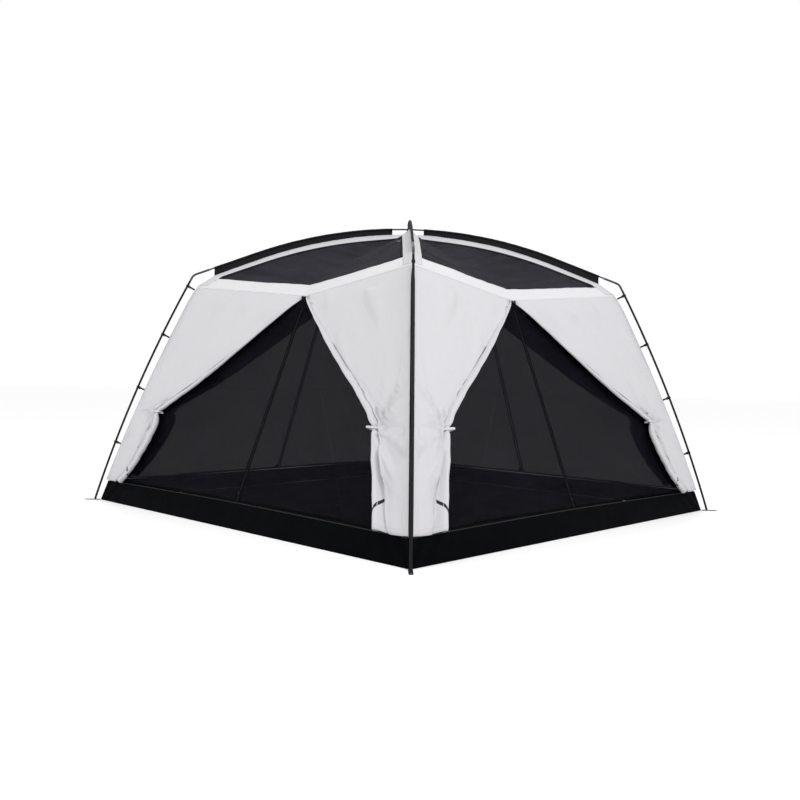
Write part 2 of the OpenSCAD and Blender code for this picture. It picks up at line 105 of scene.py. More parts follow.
def ridge_z(u):
    """Height of the roof cloth along the diagonal, below the pole."""
    u = np.asarray(u, float)
    end = float(pole_z(TOP_R)) - TOP_Z
    gap = np.where(u < SLEEVE_OUT, 0.040 + 0.020 * u / SLEEVE_OUT,
                   0.060 + (end - 0.060) * (u - SLEEVE_OUT) / (TOP_R - SLEEVE_OUT))
    return pole_z(u) - gap


def corner_u(t):
    """Distance of the bowed corner seam from the middle, t from band to eave."""
    return BAND_TOP_U + (TOP_R - BAND_TOP_U) * t + 4 * CORNER_BOW * t * (1 - t)


def wall_pt(s, t):
    """Point of the front wall's ruled surface: s from middle to corner, t from band to eave."""
    s, t = np.broadcast_arrays(np.asarray(s, float), np.asarray(t, float))
    u = corner_u(t) / math.sqrt(2)
    c = np.stack([u, -u, MID_FOOT_Z + (TOP_Z - MID_FOOT_Z) * t], -1)
    m = np.stack([0 * t, -MID_FOOT_Y - (EAVE_MID[0] - MID_FOOT_Y) * t,
                  MID_FOOT_Z + (EAVE_MID[1] - MID_FOOT_Z) * t], -1)
    return m + (c - m) * s[..., None]


def door_pt(x, h):
    """Point of the front doorway's flat plane: x sideways, h up along the wall."""
    x, h = np.broadcast_arrays(np.asarray(x, float), np.asarray(h, float))
    return np.stack([x, -MID_FOOT_Y + h * math.sin(LEAN), MID_FOOT_Z + h * math.cos(LEAN)], -1)


BAND_W = 0.055
ROOF_U0 = 0.008


def roof_pt(q, w):
    """Point of the front roof panel: q from -1 to 1 between the ridges, w from the eave to the apex."""
    q, w = np.broadcast_arrays(np.asarray(q, float), np.asarray(w, float))
    u = TOP_R + (ROOF_U0 - TOP_R) * w
    r = (w - BAND_W) / (1 - BAND_W)
    ys = np.where(w < BAND_W, EAVE_MID[0] - 0.030 * w / BAND_W,
                  (EAVE_MID[0] - 0.030) * (1 - r) + ROOF_U0 / math.sqrt(2) * r)
    zm = EAVE_MID[1] + 0.066
    zs = np.where(w < BAND_W, EAVE_MID[1] + 0.066 * w / BAND_W,
                  zm + (float(ridge_z(ROOF_U0)) - zm) * r + 0.026 * np.sin(np.pi * np.clip(r, 0, 1)))
    g = u / math.sqrt(2)
    f = np.abs(q) ** (1 + 0.8 * w)
    return np.stack([g * q, -(ys + (g - ys) * f), zs + (ridge_z(u) - zs) * f], -1)


def strip_q(w):
    """The q at which the ridge strip starts."""
    u = np.maximum(TOP_R + (ROOF_U0 - TOP_R) * np.asarray(w, float), 0.001)
    return np.maximum(0.02, 1 - 2 * RIDGE_STRIP / u)


def turn(p, k):
    """Turns points about +Z by k quarter turns."""
    c, s = [(1, 0), (0, 1), (-1, 0), (0, -1)][k % 4]
    p = np.asarray(p, float)
    return np.stack([c * p[..., 0] - s * p[..., 1], s * p[..., 0] + c * p[..., 1], p[..., 2]], -1)


def at_corner(p, k):
    """Points in a corner's own frame (x out along the diagonal) to the row frame."""
    a = math.radians(-45 + 90 * k)
    c, s = math.cos(a), math.sin(a)
    p = np.asarray(p, float)
    return np.stack([c * p[..., 0] - s * p[..., 1], s * p[..., 0] + c * p[..., 1], p[..., 2]], -1)


def ripple(a, b, n, low, high, seed):
    """Smooth pseudo-random field over two coordinates in metres, about -1 to 1."""
    r = np.random.default_rng(seed)
    out = 0.0
    for _ in range(n):
        f = r.uniform(low, high)
        d = r.uniform(0, 2 * math.pi)
        along = a * math.cos(d) + b * math.sin(d)
        out = out + math.sqrt(low / f) * np.sin(2 * math.pi * f * along + r.uniform(0, 6.3))
    return out / math.sqrt(n)


# ---------------------------------------------------------------- materials
def new_mat(name):
    m = bpy.data.materials.new(name)
    m.use_nodes = True
    nt = m.node_tree
    nt.nodes.clear()
    out = nt.nodes.new("ShaderNodeOutputMaterial")
    bsdf = nt.nodes.new("ShaderNodeBsdfPrincipled")
    nt.links.new(bsdf.outputs[0], out.inputs[0])
    return m, nt, bsdf


def node(nt, kind, **values):
    n = nt.nodes.new(kind)
    for k, v in values.items():
        if k.startswith("in_"):
            key = k[3:]
            n.inputs[int(key) if key.isdigit() else key].default_value = v
        else:
            setattr(n, k, v)
    return n


def coords(nt, uv=True, scale=(1, 1, 1)):
    tc = node(nt, "ShaderNodeTexCoord")
    mp = node(nt, "ShaderNodeMapping")
    mp.inputs["Scale"].default_value = scale
    nt.links.new(tc.outputs["UV" if uv else "Object"], mp.inputs["Vector"])
    return mp.outputs[0]


def math_node(nt, op, a, b=None, clamp=False):
    n = nt.nodes.new("ShaderNodeMath")
    n.operation = op
    n.use_clamp = clamp
    for i, v in enumerate((a, b)):
        if v is None:
            continue
        if isinstance(v, (int, float)):
            n.inputs[i].default_value = v
        else:
            nt.links.new(v, n.inputs[i])
    return n.outputs[0]


def weave(nt, vec, pitch):
    """Plain weave height, 0 to 1, over coordinates in metres."""
    sep = node(nt, "ShaderNodeSeparateXYZ")
    nt.links.new(vec, sep.inputs[0])
    k = 2 * math.pi / pitch
    su = math_node(nt, "SINE", math_node(nt, "MULTIPLY", sep.outputs[0], k))
    sv = math_node(nt, "SINE", math_node(nt, "MULTIPLY", sep.outputs[1], k))
    both = math_node(nt, "MULTIPLY", su, sv)
    return math_node(nt, "MULTIPLY_ADD", both, 0.5), sep


def cloth_mat(name, colour, rough=0.75, pitch=0.0016, vary=0.06, wrinkle=0.25, wrinkle_scale=6.0, sheen=0.15,
              uv=True, weave_bump=0.12, spec=0.35):
    """Woven coated cloth with broad shading, creases and a fine weave."""
    m, nt, b = new_mat(name)
    vec = coords(nt, uv)
    big = node(nt, "ShaderNodeTexNoise", in_Scale=1.7, in_Detail=4.0)
    nt.links.new(vec, big.inputs["Vector"])
    fine = node(nt, "ShaderNodeTexNoise", in_Scale=240.0, in_Detail=3.0)
    nt.links.new(vec, fine.inputs["Vector"])
    creases = node(nt, "ShaderNodeTexNoise", in_Scale=wrinkle_scale, in_Detail=6.0, in_Distortion=0.9)
    nt.links.new(vec, creases.inputs["Vector"])
    w, _ = weave(nt, vec, pitch)
    shade = math_node(nt, "ADD", math_node(nt, "MULTIPLY", big.outputs[0], vary),
                      math_node(nt, "MULTIPLY", fine.outputs[0], vary * 0.5))
    gain = math_node(nt, "ADD", shade, 1 - 0.75 * vary)
    col = node(nt, "ShaderNodeVectorMath", operation="SCALE")
    col.inputs[0].default_value = colour
    nt.links.new(gain, col.inputs["Scale"])
    nt.links.new(col.outputs[0], b.inputs["Base Color"])
    r = math_node(nt, "ADD", math_node(nt, "MULTIPLY", creases.outputs[0], 0.16), rough - 0.08, clamp=True)
    nt.links.new(r, b.inputs["Roughness"])
    b1 = node(nt, "ShaderNodeBump", in_Strength=wrinkle, in_Distance=0.02)
    nt.links.new(creases.outputs[0], b1.inputs["Height"])
    b2 = node(nt, "ShaderNodeBump", in_Strength=weave_bump, in_Distance=0.0006)
    nt.links.new(w, b2.inputs["Height"])
    nt.links.new(b1.outputs[0], b2.inputs["Normal"])
    nt.links.new(b2.outputs[0], b.inputs["Normal"])
    b.inputs["Sheen Weight"].default_value = sheen
    b.inputs["Specular IOR Level"].default_value = spec
    return m, nt, b


def mesh_mat(name, colour, cover, tape=None, pitch=0.0022, sheen_streak=0.5):
    """Fine netting: dark threads with small holes, and solid hems where the edge attribute is small. Its
    colour is streaked lighter and darker along stretched noise: painted sheen on its wrinkles.
    """
    m, nt, b = new_mat(name)
    vec = coords(nt, True)
    w, _ = weave(nt, vec, pitch)
    big = node(nt, "ShaderNodeTexNoise", in_Scale=2.3, in_Detail=3.0)
    nt.links.new(vec, big.inputs["Vector"])
    a = math_node(nt, "ADD", math_node(nt, "MULTIPLY", w, 0.22),
                  math_node(nt, "MULTIPLY", big.outputs[0], 0.05))
    alpha = math_node(nt, "ADD", a, cover - 0.025, clamp=True)
    # Stretched noise that streaks the colour lighter and darker: painted sheen on the netting's wrinkles.
    sheen_lines = node(nt, "ShaderNodeTexNoise", in_Scale=3.4, in_Detail=5.0, in_Distortion=2.2)
    stretch = node(nt, "ShaderNodeMapping")
    stretch.inputs["Scale"].default_value = (0.35, 2.2, 1.0)
    stretch.inputs["Rotation"].default_value = (0.0, 0.0, 0.5)
    nt.links.new(vec, stretch.inputs["Vector"])
    nt.links.new(stretch.outputs[0], sheen_lines.inputs["Vector"])
    gain = math_node(nt, "MULTIPLY_ADD", math_node(nt, "ADD", big.outputs[0], sheen_lines.outputs[0]), 2 * sheen_streak)
    gain.node.inputs[2].default_value = 1 - 2 * sheen_streak
    gain = math_node(nt, "MAXIMUM", gain, 0.2)
    col = node(nt, "ShaderNodeVectorMath", operation="SCALE")
    col.inputs[0].default_value = colour
    nt.links.new(gain, col.inputs["Scale"])
    b.inputs["Roughness"].default_value = 0.72
    b.inputs["Specular IOR Level"].default_value = 0.02
    bump = node(nt, "ShaderNodeBump", in_Strength=0.25, in_Distance=0.0008)
    nt.links.new(w, bump.inputs["Height"])
    nt.links.new(bump.outputs[0], b.inputs["Normal"])
    if tape:
        at = node(nt, "ShaderNodeAttribute", attribute_name="edge")
        hem = math_node(nt, "LESS_THAN", at.outputs["Fac"], tape[0])
        mix = node(nt, "ShaderNodeMix", data_type="RGBA")
        nt.links.new(hem, mix.inputs["Factor"])
        nt.links.new(col.outputs[0], mix.inputs["A"])
        mix.inputs["B"].default_value = (*tape[1], 1)
        nt.links.new(mix.outputs["Result"], b.inputs["Base Color"])
        nt.links.new(math_node(nt, "MAXIMUM", alpha, hem), b.inputs["Alpha"])
    else:
        nt.links.new(col.outputs[0], b.inputs["Base Color"])
        nt.links.new(alpha, b.inputs["Alpha"])
    return m


def hard_mat(name, colour, rough, metal=0.0, scale=40.0, vary=0.12, bump=0.05, spec=0.12):
    """Painted metal, fibreglass, plastic or bare metal with faint unevenness."""
    m, nt, b = new_mat(name)
    vec = coords(nt, False)
    n1 = node(nt, "ShaderNodeTexNoise", in_Scale=scale, in_Detail=5.0)
    n2 = node(nt, "ShaderNodeTexNoise", in_Scale=scale * 14, in_Detail=2.0)
    nt.links.new(vec, n1.inputs["Vector"])
    nt.links.new(vec, n2.inputs["Vector"])
    gain = math_node(nt, "ADD", math_node(nt, "MULTIPLY", n1.outputs[0], vary * 2), 1 - vary)
    col = node(nt, "ShaderNodeVectorMath", operation="SCALE")
    col.inputs[0].default_value = colour
    nt.links.new(gain, col.inputs["Scale"])
    nt.links.new(col.outputs[0], b.inputs["Base Color"])
    r = math_node(nt, "ADD", math_node(nt, "MULTIPLY", n1.outputs[0], 0.18), rough - 0.09, clamp=True)
    nt.links.new(r, b.inputs["Roughness"])
    bp = node(nt, "ShaderNodeBump", in_Strength=bump, in_Distance=0.0005)
    nt.links.new(n2.outputs[0], bp.inputs["Height"])
    nt.links.new(bp.outputs[0], b.inputs["Normal"])
    b.inputs["Metallic"].default_value = metal
    b.inputs["Specular IOR Level"].default_value = spec
    return m


def sewn_white(name, colour):
    """White cloth with a stitched hem at its foot, and black tape where the edge attribute is over 0.5."""
    m, nt, b = cloth_mat(name, colour, 0.74, wrinkle=0.62, wrinkle_scale=3.2)
    sep = node(nt, "ShaderNodeSeparateXYZ")
    nt.links.new(coords(nt, True), sep.inputs[0])
    stitch = math_node(nt, "SINE", math_node(nt, "MULTIPLY", sep.outputs[0], 1250.0))
    dash = math_node(nt, "GREATER_THAN", stitch, -0.3)
    rows = []
    for height in (0.024, 0.031):
        off = math_node(nt, "ABSOLUTE", math_node(nt, "SUBTRACT", sep.outputs[1], height))
        rows.append(math_node(nt, "MULTIPLY", math_node(nt, "LESS_THAN", off, 0.0009), dash))
    seams = math_node(nt, "MAXIMUM", *rows)
    base = b.inputs["Base Color"].links[0].from_socket
    sew = node(nt, "ShaderNodeMix", data_type="RGBA")
    nt.links.new(math_node(nt, "MULTIPLY", seams, 0.45), sew.inputs["Factor"])
    nt.links.new(base, sew.inputs["A"])
    sew.inputs["B"].default_value = (0.18, 0.18, 0.19, 1)
    at = node(nt, "ShaderNodeAttribute", attribute_name="edge")
    zip_mix = node(nt, "ShaderNodeMix", data_type="RGBA")
    nt.links.new(math_node(nt, "GREATER_THAN", at.outputs["Fac"], 0.5), zip_mix.inputs["Factor"])
    nt.links.new(sew.outputs["Result"], zip_mix.inputs["A"])
    zip_mix.inputs["B"].default_value = (0.006, 0.006, 0.007, 1)
    nt.links.new(zip_mix.outputs["Result"], b.inputs["Base Color"])
    return m


WHITE = (0.50, 0.493, 0.512)
# The eave band is the same white cloth as the walls, given a lighter colour here: painted light, standing in
# for the light falling on its upward slope.
EAVE_WHITE_PAINTED_LIGHT = (0.575, 0.567, 0.587)
NET = (0.0042, 0.0040, 0.0066)
NET_HEM = (0.0015, 0.0015, 0.0018)
NET_COVER = 0.768
MAT = {
    "steel_tube": hard_mat("tube_black", (0.006, 0.006, 0.007), 0.40),
    "elbow_steel": hard_mat("elbow_grey", (0.030, 0.031, 0.034), 0.32, spec=0.45),
    "fibreglass": hard_mat("rod_black", (0.005, 0.005, 0.006), 0.34),
    "bright_metal": hard_mat("metal_bright", (0.42, 0.43, 0.45), 0.28, metal=1.0),
    "foot_plastic": hard_mat("foot_black", (0.016, 0.016, 0.018), 0.55),
    "clip_plastic": hard_mat("clip_black", (0.010, 0.010, 0.011), 0.45),
    "zip_metal": hard_mat("zip_black", (0.010, 0.010, 0.011), 0.35, metal=0.5),
    "webbing": cloth_mat("webbing_black", (0.012, 0.012, 0.014), 0.8, pitch=0.0024, uv=False,
                         wrinkle=0.05, weave_bump=0.6, sheen=0, spec=0.15)[0],
    "sleeve_cloth": cloth_mat("sleeve_black", (0.006, 0.006, 0.008), 0.7,
                              wrinkle=0.35, wrinkle_scale=14, sheen=0, spec=0.12)[0],
    "white_trim": cloth_mat("trim_white", WHITE, 0.72, wrinkle=0.18, wrinkle_scale=11)[0],
    # Eave band: a lighter copy of the white cloth, painted light for its upward-facing slope.
    "eave_cloth": cloth_mat("eave_white_painted_light", EAVE_WHITE_PAINTED_LIGHT, 0.68, wrinkle=0.22, wrinkle_scale=12)[0],
    "curtain_cloth": sewn_white("curtain_white", WHITE),
    "curtain_back": cloth_mat("curtain_dark_back", (0.15, 0.15, 0.16), 0.6,
                              wrinkle=0.22, wrinkle_scale=7, sheen=0, spec=0.2)[0],
    # Roof netting: a lighter colour than the wall netting and strong streaks, painted sheen of the light
    # from above on its wrinkles.
    "roof_mesh": mesh_mat("net_roof", (0.017, 0.016, 0.023), 0.775, sheen_streak=0.9),
    "wall_mesh": mesh_mat("net_wall", NET, NET_COVER, tape=(0.012, NET_HEM)),
    "door_mesh": mesh_mat("net_door", NET, NET_COVER, tape=(0.017, NET_HEM)),
    "ground_sheet": cloth_mat("ground_black", (0.003, 0.0033, 0.004), 0.5,
                              wrinkle=0.5, wrinkle_scale=5, sheen=0, spec=0.06)[0],
    "bathtub_cloth": cloth_mat("bathtub_black", (0.0012, 0.0014, 0.0020), 0.6,
                               wrinkle=0.8, wrinkle_scale=3, sheen=0, spec=0.015)[0],
    # The bathtub's top binding is a real part; its grey, far lighter than the black band, is a painted
    # highlight along it.
    "hem_grey": cloth_mat("hem_grey", (0.022, 0.024, 0.027), 0.5, wrinkle=0.1, sheen=0, spec=0.1)[0],
}
ROUND_SLOTS = ("steel_tube", "elbow_steel", "fibreglass", "bright_metal", "foot_plastic")

SLOT_OF = {s["node"]: s["material_slot"] for s in frame["record"]["subparts"]}
for name, o in NODES.items():
    o.data.materials.clear()
    o.data.materials.append(MAT[SLOT_OF[name]])
    if SLOT_OF[name] in ROUND_SLOTS:
        for poly in o.data.polygons:
            poly.use_smooth = True
        mod = o.modifiers.new("edges", "EDGE_SPLIT")
        mod.split_angle = math.radians(35)


# ---------------------------------------------------------------- mesh helpers
def grid_quads(n, m):
    """Faces of a grid with n rows and m columns of points."""
    idx = np.arange(n * m).reshape(n, m)
    return np.stack([idx[:-1, :-1], idx[1:, :-1], idx[1:, 1:], idx[:-1, 1:]], -1).reshape(-1, 4)


def grid_object(name, p, uv, mats, edge=None):
    """Object from a grid of points (rows, columns, 3), with coordinates in metres as its UV map."""
    quads = grid_quads(*p.shape[:2])
    me = bpy.data.meshes.new(name)
    me.from_pydata(p.reshape(-1, 3).tolist(), [], quads.tolist())
    layer = me.uv_layers.new(name="UVMap")
    flat = uv.reshape(-1, 2)[quads.reshape(-1)]
    layer.data.foreach_set("uv", flat.astype(np.float32).ravel())
    if edge is not None:
        at = me.attributes.new("edge", "FLOAT", "POINT")
        at.data.foreach_set("value", edge.reshape(-1).astype(np.float32))
    for mt in mats:
        me.materials.append(mt)
    me.update()
    me.polygons.foreach_set("use_smooth", [True] * len(me.polygons))
    o = bpy.data.objects.new(name, me)
    bpy.context.scene.collection.objects.link(o)
    return o


def facing(p, direction):
    """True if the grid's faces look the given way."""
    i, j = p.shape[0] // 2, p.shape[1] // 2
    n = np.cross(p[i + 1, j] - p[i, j], p[i, j + 1] - p[i, j])
    return float(np.dot(n, direction)) > 0


def face_out(p, uv, direction, *more):
    """Reverses the columns where the grid's faces look the wrong way."""
    if facing(p, direction):
        return (p, uv, *more)
    return (p[:, ::-1], uv[:, ::-1], *[x[:, ::-1] for x in more])


def thicken(o, t, offset=-1.0, inner=0):
    """Gives a sheet its thickness; inner picks the material of the far face."""
    mod = o.modifiers.new("thickness", "SOLIDIFY")
    mod.thickness = t
    mod.offset = offset
    mod.material_offset = inner


def tube_object(name, path, radius, mat, sides=10, wobble=0.0, seed=1):
    """Round tube along points; wobble roughens its radius."""
    path = np.asarray(path, float)
    d = np.gradient(path, axis=0)
    d /= np.linalg.norm(d, axis=1)[:, None]
    up = np.array([0.0, 0.0, 1.0])
    a = np.cross(d, up)
    bad = np.linalg.norm(a, axis=1) < 1e-3
    a[bad] = np.cross(d[bad], [1.0, 0, 0])
    a /= np.linalg.norm(a, axis=1)[:, None]
    b = np.cross(a, d)
    th = np.linspace(0, 2 * math.pi, sides, endpoint=False)
    r = np.full((len(path), sides), radius)
    if wobble:
        s = np.concatenate([[0], np.cumsum(np.linalg.norm(np.diff(path, axis=0), axis=1))])
        r = r + wobble * ripple(s[:, None] + 0 * th, 0.05 * th[None, :] + 0 * s[:, None], 7, 6, 30, seed)
    ring = np.cos(th)[None, :, None] * a[:, None] + np.sin(th)[None, :, None] * b[:, None]
    p = path[:, None] + r[..., None] * ring
    n, m = p.shape[:2]
    idx = np.arange(n * m).reshape(n, m)
    nxt = np.roll(idx, -1, axis=1)
    quads = np.stack([idx[:-1], nxt[:-1], nxt[1:], idx[1:]], -1).reshape(-1, 4).tolist()
    quads += [idx[0, ::-1].tolist(), idx[-1].tolist()]
    me = bpy.data.meshes.new(name)
    me.from_pydata(p.reshape(-1, 3).tolist(), [], quads)
    me.materials.append(mat)
    me.update()
    me.polygons.foreach_set("use_smooth", [True] * len(me.polygons))
    o = bpy.data.objects.new(name, me)
    bpy.context.scene.collection.objects.link(o)
    return o


# ---------------------------------------------------------------- roof
def roof_netting(k, wall):
    w = np.linspace(0.057, 0.9, 44)
    W, Q = np.meshgrid(w, np.linspace(-1, 1, 61), indexing="ij")
    p = roof_pt(Q * (strip_q(w)[:, None] - 0.0005), W)
    slack = (1 - Q ** 2) * np.sin(np.pi * (W - 0.057) / 0.843)
    p[..., 2] += 0.004 * slack * ripple(p[..., 0], p[..., 1], 9, 0.8, 4, 11 + k)
    uv = np.stack([p[..., 0], -p[..., 1]], -1)
    p, uv = face_out(turn(p, k), uv, (0, 0, 1))
    o = grid_object("net_roof_" + wall, p, uv, [MAT["roof_mesh"]])
    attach(o, "shelter")
    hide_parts("roof_mesh_" + wall)


def eave(k, wall):
    """White band along the eave, with a lap that hangs over the top of the curtains."""
    wide = 0.09
    w = np.linspace(0.001, 0.0565, 9)
    W, Q = np.meshgrid(w, np.linspace(-1, 1, 121), indexing="ij")
    p = roof_pt(Q * (strip_q(w)[:, None] + 0.004), W)
    edge = (W - w[0]) / (w[-1] - w[0])
    puckers = 0.0022 * ripple(p[..., 0], 3 * edge, 10, 2, 9, 31 + k) * (0.4 + edge)
    p = p + puckers[..., None] * EAVE_LIFT
    p = p + 0.0012 * EAVE_LIFT
    q = Q[:3]
    down = np.array([0.016, 0.008, 0.002])[:, None]
    lap = wall_pt(np.abs(q), 1 - down / WALL_LEN + 0 * q)
    lap = lap * np.stack([np.sign(q) + (q == 0), 1 + 0 * q, 1 + 0 * q], -1) + 0.0032 * OUT
    p = np.concatenate([lap, p], 0)
    edge = np.concatenate([-down / wide + 0 * q, edge], 0)
    uv = np.stack([p[..., 0], edge * wide], -1)
    p, uv = face_out(turn(p, k), uv, turn(EAVE_LIFT, k))
    o = grid_object("eave_" + wall, p, uv, [MAT["eave_cloth"], MAT["curtain_back"]])
    thicken(o, 0.0016, -1, inner=1)
    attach(o, "shelter")
    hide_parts("eave_band_" + wall)


def ridge(k):
    """White strip over one diagonal seam, laid across both roof panels beside it."""
    w = np.linspace(0.0, 0.9995, 90)
    W, F = np.meshgrid(w, np.linspace(0, 1, 7), indexing="ij")
    qs = strip_q(w)[:, None]
    right = roof_pt(qs + (1 - qs) * F, W)
    left = right[:, ::-1][:, 1:]
    left = np.stack([-left[..., 1], -left[..., 0], left[..., 2]], -1)
    p = np.concatenate([right, left], 1)
    across = np.concatenate([F, 2 - F[:, ::-1][:, 1:]], 1)
    s = (TOP_R * (1 - W[:, :1])) + 0 * across
    puckers = np.sin(np.pi * np.clip(across / 2, 0, 1)) * ripple(s, across * 0.3, 8, 2, 12, 61 + k)
    p[..., 2] += 0.0015 + 0.0018 * puckers
    uv = np.stack([across * RIDGE_STRIP, s], -1)
    p, uv = face_out(turn(p, k), uv, (0, 0, 1))
    o = grid_object("ridge_" + CORNERS[k], p, uv, [MAT["white_trim"], MAT["curtain_back"]])
    thicken(o, 0.0016, -1, inner=1)
    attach(o, "shelter")
    if k == 0:
        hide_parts("ridge_trim")


for k, wall in enumerate(WALLS):
    roof_netting(k, wall)
    eave(k, wall)
for k in range(4):
    ridge(k)


# ---------------------------------------------------------------- pole sleeves
def sleeve(k):
    """Black fin that hangs the roof from a pole, with a tube hem round the pole."""
    which = 1 if k % 2 == 0 else 0
    u = np.linspace(SLEEVE_IN, SLEEVE_OUT, 150)
    low, high = ridge_z(u) + 0.001, pole_z(u, which) - 0.0066
    U, V = np.meshgrid(u, np.linspace(0, 1, 9), indexing="ij")
    Z = low[:, None] + (high - low)[:, None] * V
    side = 0.0032 * np.sin(np.pi * np.clip(V * 0.9 + 0.05, 0, 1)) * ripple(U, V * 0.06, 9, 3, 16, 80 + k)
    p = at_corner(np.stack([U, side, Z], -1), k)
    o = grid_object("sleeve_cloth_" + CORNERS[k], p, np.stack([U, Z], -1), [MAT["sleeve_cloth"]])
    thicken(o, 0.0016, 0)
    path = at_corner(np.stack([u, 0 * u, pole_z(u, which)], -1), k)
    hem = tube_object("sleeve_hem_" + CORNERS[k], path, 0.0082, MAT["sleeve_cloth"], 14, 0.0006, 90 + k)
    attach(o, "shelter")
    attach(hem, "shelter")
    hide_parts("sleeve_" + CORNERS[k])


for k in range(4):
    sleeve(k)


# ---------------------------------------------------------------- walls of netting and the door flaps
HEM_STEPS = [0, 0.0145, 0.0155]  # rows that bound the solid hem along an edge


def fold_x(h):
    """Sideways place of the flap's fold line at height h along the wall."""
    return DOOR_HALF * (1 - (h - DOOR_FOOT) / (DOOR_TOP - DOOR_FOOT))


def door_flap(k, wall, side, sg):
    """Triangle of netting between the middle zip, the foot and the slanted fold line."""
    zip_x, last = 0.0016, 34
    h = np.concatenate([HEM_STEPS, np.linspace(0.05, DOOR_TOP - 0.012 - DOOR_FOOT, 48)]) + DOOR_FOOT
    f = np.concatenate([HEM_STEPS, np.linspace(0.05, 1, last)])
    H = h[:, None] + 0 * f[None, :]
    span = np.maximum(fold_x(h) - zip_x, 0.004)[:, None]
    lead = np.minimum(f[None, :3], span * [0, 0.45, 0.5])
    rest = 0.05 + (f[None, 3:] - 0.05) / 0.95 * np.maximum(span - 0.05, 0)
    rest = np.where(span > 0.12, rest, span * np.linspace(0.55, 1, last)[None, :])
    X = zip_x + np.concatenate([lead, rest], 1)
    slope = math.hypot(1 / DOOR_HALF, 1 / (DOOR_TOP - DOOR_FOOT))
    to_fold = (1 - X / DOOR_HALF - (H - DOOR_FOOT) / (DOOR_TOP - DOOR_FOOT)) / slope
    edge = np.minimum(X - zip_x, H - DOOR_FOOT)
    p = door_pt(X, H) * np.array([sg, 1, 1])
    loose = np.clip(np.minimum(np.minimum(X, H), to_fold) / 0.12, 0, 1)
    waves = ripple(X, 0.4 * H, 8, 0.8, 5, 130 + 10 * k + sg)
    p = p + (0.0006 + 0.0045 * loose * waves)[..., None] * OUT
    uv = np.stack([X * sg, H], -1)
    p, uv, edge = face_out(turn(p, k), uv, turn(OUT, k), edge)
    o = grid_object(f"net_door_{wall}_{side}", p, uv, [MAT["door_mesh"]], edge)
    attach(o, f"door_{wall}_{side}")
    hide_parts(f"flap_{wall}_{side}")


def zip_cord(k, wall, side, sg):
    """Corded edge of the flap, along which the slider runs."""
    h = np.linspace(DOOR_FOOT, DOOR_TOP - 0.046, 60)
    path = turn((door_pt(0.0027 + 0 * h, h) + 0.0006 * OUT) * np.array([sg, 1, 1]), k)
    z = tube_object(f"zip_cord_{wall}_{side}", path, 0.0016, MAT["webbing"], 8)
    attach(z, f"door_{wall}_{side}")


def side_netting(k, wall, side, sg):
    """Fixed netting from the fold line to the corner."""
    t = np.linspace(0.002, 0.996, 46)
    h = t * WALL_LEN
    g = np.concatenate([[0, 0.012], np.linspace(0.05, 1, 26)])
    inner = door_pt(np.maximum(fold_x(h), 0) + np.where(h < DOOR_TOP, 0.0004, 0.0005), h)
    outer = wall_pt(SEAM_S + 0 * t, t)
    p = inner[:, None] + (outer - inner)[:, None] * g[None, :, None]
    T, G = np.meshgrid(t, g, indexing="ij")
    loose = np.sin(np.pi * np.clip(G, 0, 1)) * np.sin(np.pi * T)
    waves = ripple(p[..., 0], 0.4 * p[..., 2], 8, 0.8, 5, 170 + 10 * k + sg)
    p = p * np.array([sg, 1, 1]) + (0.0005 + 0.005 * loose * waves)[..., None] * OUT
    uv = np.stack([p[..., 0], p[..., 2]], -1)
    edge = np.minimum(T * WALL_LEN, (1 - T) * WALL_LEN)
    p, uv, edge = face_out(turn(p, k), uv, turn(OUT, k), edge)
    o = grid_object(f"net_side_{wall}_{side}", p, uv, [MAT["wall_mesh"]], edge)
    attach(o, "shelter")
    if sg == 1:
        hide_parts("wall_mesh_" + wall)


for k, wall in enumerate(WALLS):
    for side, sg in (("l", -1), ("r", 1)):
        door_flap(k, wall, side, sg)
        zip_cord(k, wall, side, sg)
        side_netting(k, wall, side, sg)


# ---------------------------------------------------------------- bathtub floor
def ground_sheet():
    """Black sheet on the ground, with low wrinkles away from its edges."""
    a = np.linspace(-1, 1, 121)
    A, B = np.meshgrid(a, a, indexing="ij")
    half = SIDE / 2 - 0.002
    p = np.stack([A * half, B * half, 0 * A], -1)
    rim = np.clip(np.minimum(1 - np.abs(A), 1 - np.abs(B)) / 0.06, 0, 1)
    wrinkles = ripple(p[..., 0], p[..., 1], 16, 0.7, 4.5, 210)
    p[..., 2] = 0.0022 + 0.0045 * rim * np.clip(wrinkles, -0.4, 1.4) * 0.6 + 0.001 * rim
    uv = p[..., :2].copy()
    o = grid_object("ground_sheet", *face_out(p, uv, (0, 0, 1)), [MAT["ground_sheet"]])
    thicken(o, 0.0012, -1)
    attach(o, "shelter")
    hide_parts("floor_sheet")


